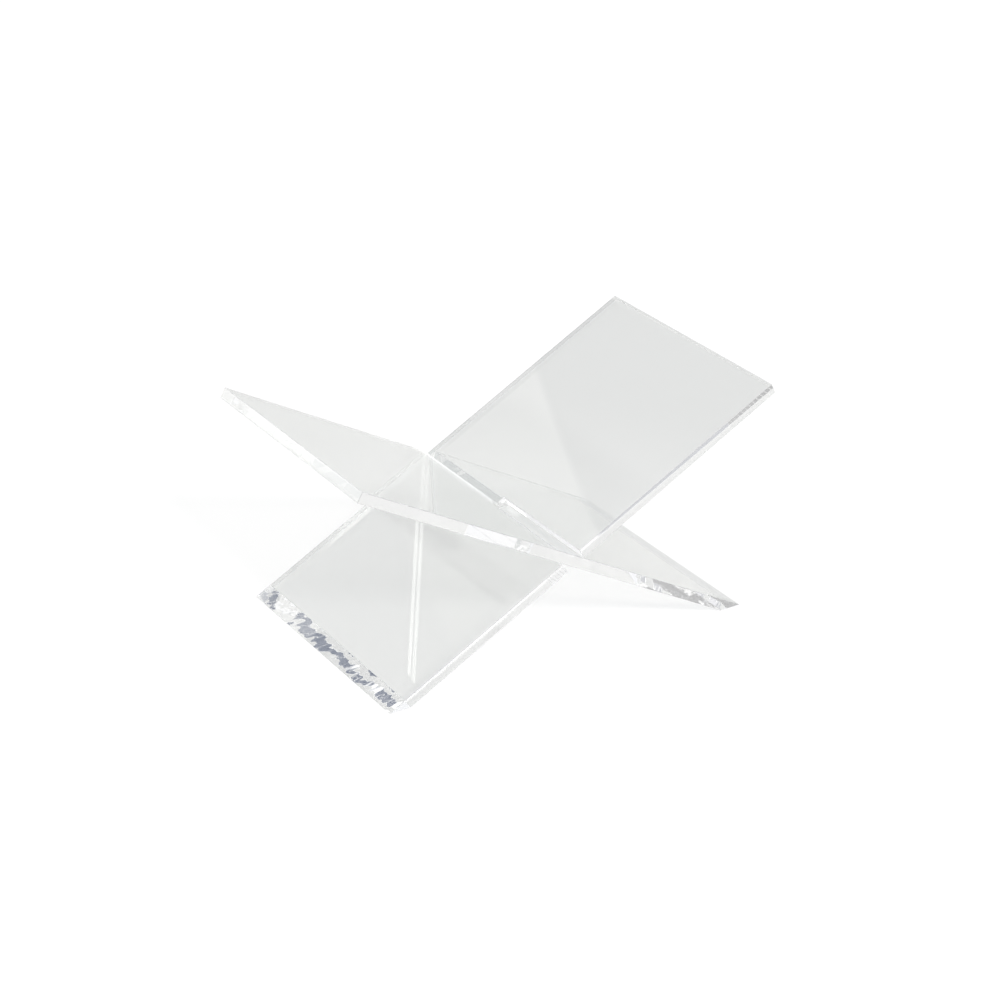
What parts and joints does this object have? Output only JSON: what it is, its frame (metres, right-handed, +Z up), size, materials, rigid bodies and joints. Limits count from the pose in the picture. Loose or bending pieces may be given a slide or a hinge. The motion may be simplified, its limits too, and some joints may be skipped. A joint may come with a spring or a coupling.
{
  "type": "bible stand",
  "caption": "Clear acrylic stand for an open bible: half-depth slotted panels interlock into a low X with a shallow V cradle on top and level mitred feet.",
  "frame": {"origin": "on the table, at the middle of the stand's footprint, straight under the middle of the crossing", "axes": "+Z up, +X to the right as a reader faces the stand, along the spread of the wings, +Y to the back, along the crossing line"},
  "size_m": [0.3974, 0.2286, 0.2014],
  "materials": {
    "clear_acrylic": "clear cast acrylic sheet, polished faces, sawn and lightly sanded edges with broken corners"
  },
  "bodies": {
    "right_wing_panel": {"right_wing_panel": "clear_acrylic"},
    "left_wing_panel": {"left_wing_panel": "clear_acrylic"}
  },
  "joints": [
    {"name": "slot_slide", "type": "slide", "parent": "right_wing_panel", "child": "left_wing_panel", "axis": [0, -1, 0], "range_m": [0, 0.23]}
  ]
}
